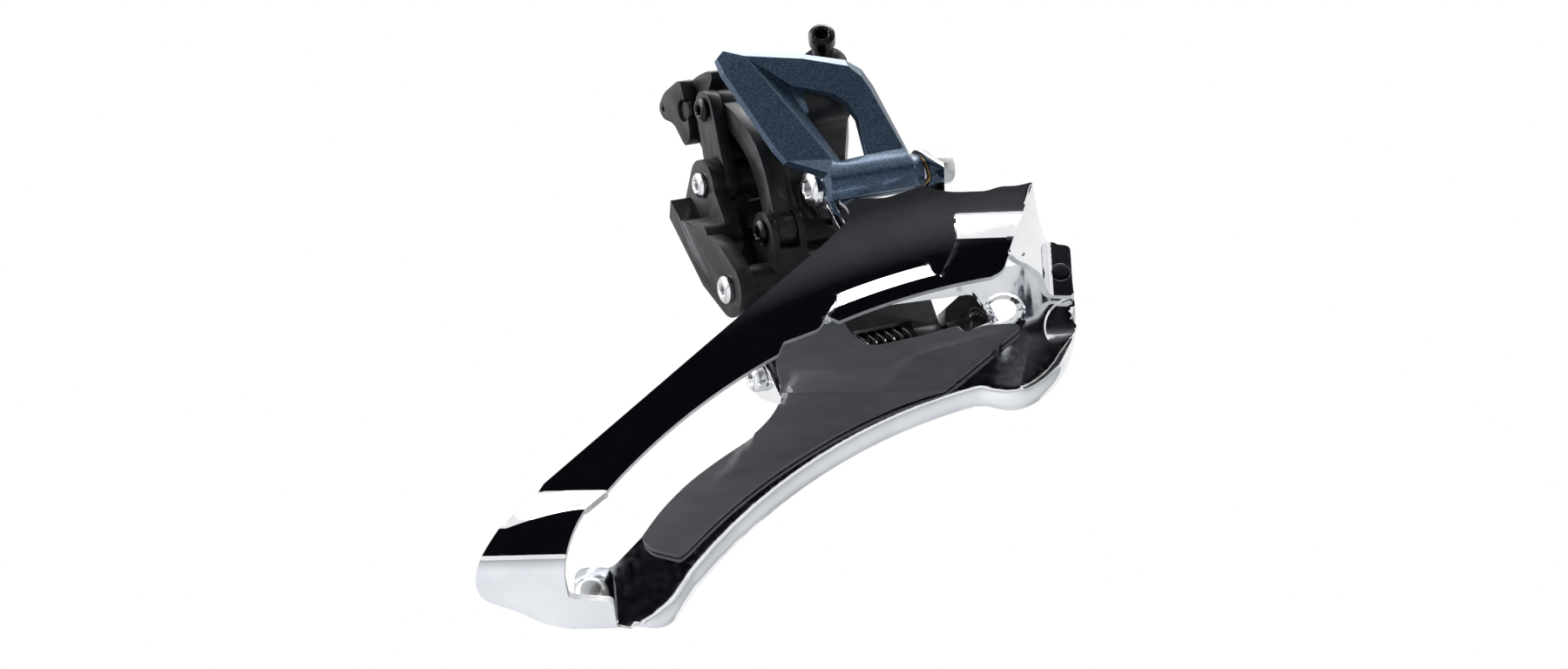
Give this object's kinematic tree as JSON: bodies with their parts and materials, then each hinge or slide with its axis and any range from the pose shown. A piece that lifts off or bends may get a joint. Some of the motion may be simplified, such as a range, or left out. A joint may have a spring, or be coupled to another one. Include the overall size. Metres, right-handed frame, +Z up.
{
  "type": "front derailleur",
  "caption": "Brazed-on front derailleur: chromed chain cage on a parallelogram of a wide outer link and a short inner link, moved by a cable arm and a toggle link.",
  "frame": {"origin": "middle of the curved mounting face, on its crest line", "axes": "+X forward along the bicycle, +Y inboard from the derailleur to the frame, +Z up"},
  "size_m": [0.1015, 0.0496, 0.1201],
  "materials": {
    "black_alloy": "black anodised forging, satin",
    "black_steel": "black oxide steel, semi-gloss",
    "steel": "plain steel, fine turned",
    "bright_steel": "bright nickel",
    "chrome": "mirror chrome over pressed steel",
    "bronze": "plain bearing bronze",
    "blue_grey_paint": "blue-grey metallic flake, clear-coated",
    "resin": "dark grey moulded resin, fine matte"
  },
  "bodies": {
    "base": {"base_body": "black_alloy", "braze_on_bolt": "steel", "radius_washer": "steel", "outer_link_pin": "steel", "inner_link_pin": "bright_steel", "arm_pivot_pin": "bright_steel"},
    "low_limit": {"low_limit_screw": "black_steel"},
    "high_limit": {"high_limit_screw": "black_steel"},
    "tension": {"cable_tension_screw": "steel"},
    "support": {"support_bolt": "black_steel"},
    "outer_link": {"outer_link": "blue_grey_paint", "outer_link_bush_rear": "bronze", "outer_link_bush_front": "bronze"},
    "inner_link": {"inner_link": "black_alloy", "toggle_pin_lower": "black_steel"},
    "cable_arm": {"cable_arm": "black_alloy", "cable_guide": "black_alloy", "cable_clamp_bolt": "black_steel", "cable_clamp_plate": "steel", "toggle_pin_upper": "black_steel"},
    "toggle_link": {"toggle_link": "black_alloy"},
    "cage": {"outer_plate": "chrome", "inner_plate": "chrome", "skid_plate": "resin", "tail_rivet": "steel", "nose_rivet": "chrome", "outer_pivot_screw": "bright_steel", "outer_pivot_nut": "steel", "inner_pivot_screw": "bright_steel", "return_spring": "black_steel"}
  },
  "joints": [
    {"name": "inner_link_pivot", "type": "hinge", "parent": "base", "child": "inner_link", "pos_m": [0.00834, -0.00622, -0.01838], "axis": [-0.8596, -0.3561, -0.3665], "range_deg": [0, 30]},
    {"name": "cage_inner_pivot", "type": "hinge", "parent": "inner_link", "child": "cage", "pos_m": [0.01324, -0.00187, -0.03409], "axis": [-0.8596, -0.3561, -0.3665], "range_deg": [-30, 0]},
    {"name": "outer_link_pivot", "type": "hinge", "parent": "base", "child": "outer_link", "pos_m": [0.00588, -0.0256, 0.00624], "axis": [-0.8596, -0.3561, -0.3665], "range_deg": [0, 30]},
    {"name": "cable_arm_pivot", "type": "hinge", "parent": "base", "child": "cable_arm", "pos_m": [-0.0003, -0.0072, 0.00285], "axis": [-0.8596, -0.3561, -0.3665], "range_deg": [0, 25.63]},
    {"name": "toggle_upper_pivot", "type": "hinge", "parent": "cable_arm", "child": "toggle_link", "pos_m": [-0.00234, -0.01414, 0.01438], "axis": [-0.8596, -0.3561, -0.3665], "range_deg": [-22.7, 0]},
    {"name": "low_limit_adjust", "type": "slide", "parent": "base", "child": "low_limit", "axis": [-0.3971, 0.0142, 0.9177], "range_m": [-0.001, 0.001]},
    {"name": "high_limit_adjust", "type": "slide", "parent": "base", "child": "high_limit", "axis": [-0.3971, 0.0142, 0.9177], "range_m": [-0.001, 0.001]},
    {"name": "cable_tension_adjust", "type": "slide", "parent": "base", "child": "tension", "axis": [-0.3971, 0.0142, 0.9177], "range_m": [-0.003, 0]},
    {"name": "support_bolt_adjust", "type": "slide", "parent": "base", "child": "support", "axis": [0, 1, 0], "range_m": [-0.002, 0.002]}
  ],
  "couplings": [
    {"joint": "cage_inner_pivot", "follows": "inner_link_pivot", "ratio": -1},
    {"joint": "outer_link_pivot", "follows": "inner_link_pivot", "ratio": 1},
    {"joint": "cable_arm_pivot", "follows": "inner_link_pivot", "ratio": 0.8542},
    {"joint": "toggle_upper_pivot", "follows": "inner_link_pivot", "ratio": -0.7567}
  ]
}
